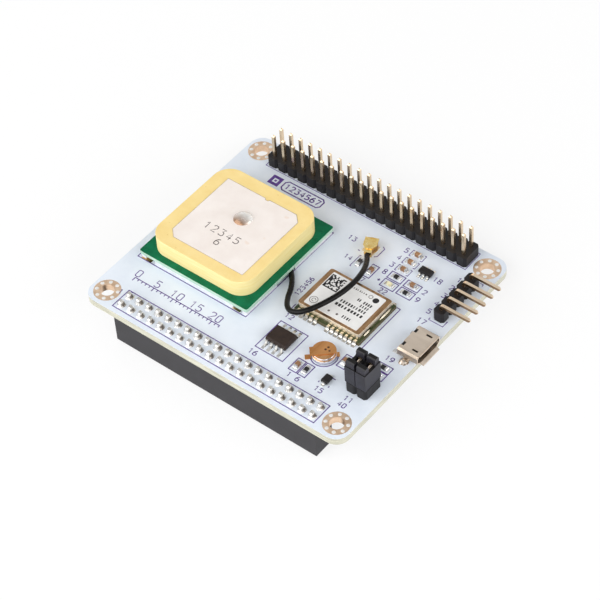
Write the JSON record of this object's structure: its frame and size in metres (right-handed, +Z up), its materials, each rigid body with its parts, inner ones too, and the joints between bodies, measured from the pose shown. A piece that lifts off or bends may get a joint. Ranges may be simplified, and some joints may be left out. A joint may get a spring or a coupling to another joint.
{
  "type": "positioning receiver add-on board",
  "caption": "White circuit board with a ceramic patch antenna, coax lead, shielded satellite receiver module, host socket, pin headers, jumpers, backup cell and micro power port.",
  "frame": {"origin": "middle of the four mounting holes, on the underside of the circuit board", "axes": "+X to the right along the edge over the host socket, +Y from the host socket to the rear pin header, +Z up out of the board's top"},
  "size_m": [0.0687, 0.0564, 0.0185],
  "materials": {
    "board_mask": "satin white solder mask with a cool tint",
    "plated_copper": "dull plated copper",
    "socket_plastic": "dark grey moulding",
    "contact_metal": "plated spring metal",
    "solder": "bright solder",
    "header_plastic": "black moulding",
    "pin_metal": "flash-gold pins",
    "foam": "white adhesive foam",
    "antenna_mask": "green solder mask",
    "antenna_ceramic": "fired yellow ceramic",
    "silver_paste": "matt fired silver paste",
    "cable_jacket": "black jacket",
    "plug_metal": "gold-plated stamping",
    "receptacle": "ivory moulding",
    "module_mask": "olive solder mask",
    "can_metal": "champagne sheet metal",
    "label_paper": "white printed label",
    "chip_moulding": "black moulding compound",
    "lead_metal": "tinned leads",
    "can_silver": "bright metal case",
    "terminal_copper": "copper-coloured strip",
    "cap_plastic": "black jumper caps",
    "shell_metal": "plated sheet steel",
    "capacitor_ceramic": "brown ceramic",
    "resistor_glaze": "black glazed face",
    "light_resin": "pale clear resin"
  },
  "bodies": {
    "root": {"circuit_board": "board_mask", "mounting_pads": "plated_copper", "socket_housing": "socket_plastic", "socket_contacts": "contact_metal", "jumper_clip_left": "contact_metal", "jumper_clip_right": "contact_metal", "port_contacts": "contact_metal", "socket_solder": "solder", "header_solder": "solder", "module_solder": "solder", "antenna_feed": "solder", "rear_header_base": "header_plastic", "jumper_base": "header_plastic", "side_header_base": "header_plastic", "port_insulator": "header_plastic", "rear_header_pins": "pin_metal", "jumper_pins": "pin_metal", "side_header_pins": "pin_metal", "antenna_pad": "foam", "antenna_board": "antenna_mask", "antenna_ceramic": "antenna_ceramic", "antenna_electrode": "silver_paste", "coax_cable": "cable_jacket", "coax_plug": "plug_metal", "coax_receptacle": "receptacle", "module_board": "module_mask", "module_can": "can_metal", "module_label": "label_paper", "receiver_chip": "chip_moulding", "memory_body": "chip_moulding", "diode_body": "chip_moulding", "regulator_body": "chip_moulding", "inductor": "chip_moulding", "memory_leads": "lead_metal", "diode_leads": "lead_metal", "regulator_leads": "lead_metal", "chip_terminals": "lead_metal", "backup_cell": "can_silver", "reference_oscillator": "can_silver", "band_filter": "can_silver", "cell_top_terminal": "terminal_copper", "cell_base_terminal": "terminal_copper", "jumper_cap_left": "cap_plastic", "jumper_cap_right": "cap_plastic", "port_shell": "shell_metal", "capacitor_1": "capacitor_ceramic", "capacitor_2": "capacitor_ceramic", "capacitor_3": "capacitor_ceramic", "capacitor_4": "capacitor_ceramic", "capacitor_5": "capacitor_ceramic", "capacitor_6": "capacitor_ceramic", "capacitor_7": "capacitor_ceramic", "resistor_1": "resistor_glaze", "resistor_2": "resistor_glaze", "resistor_3": "resistor_glaze", "resistor_4": "resistor_glaze", "resistor_5": "resistor_glaze", "indicator_light": "light_resin"}
  },
  "joints": []
}
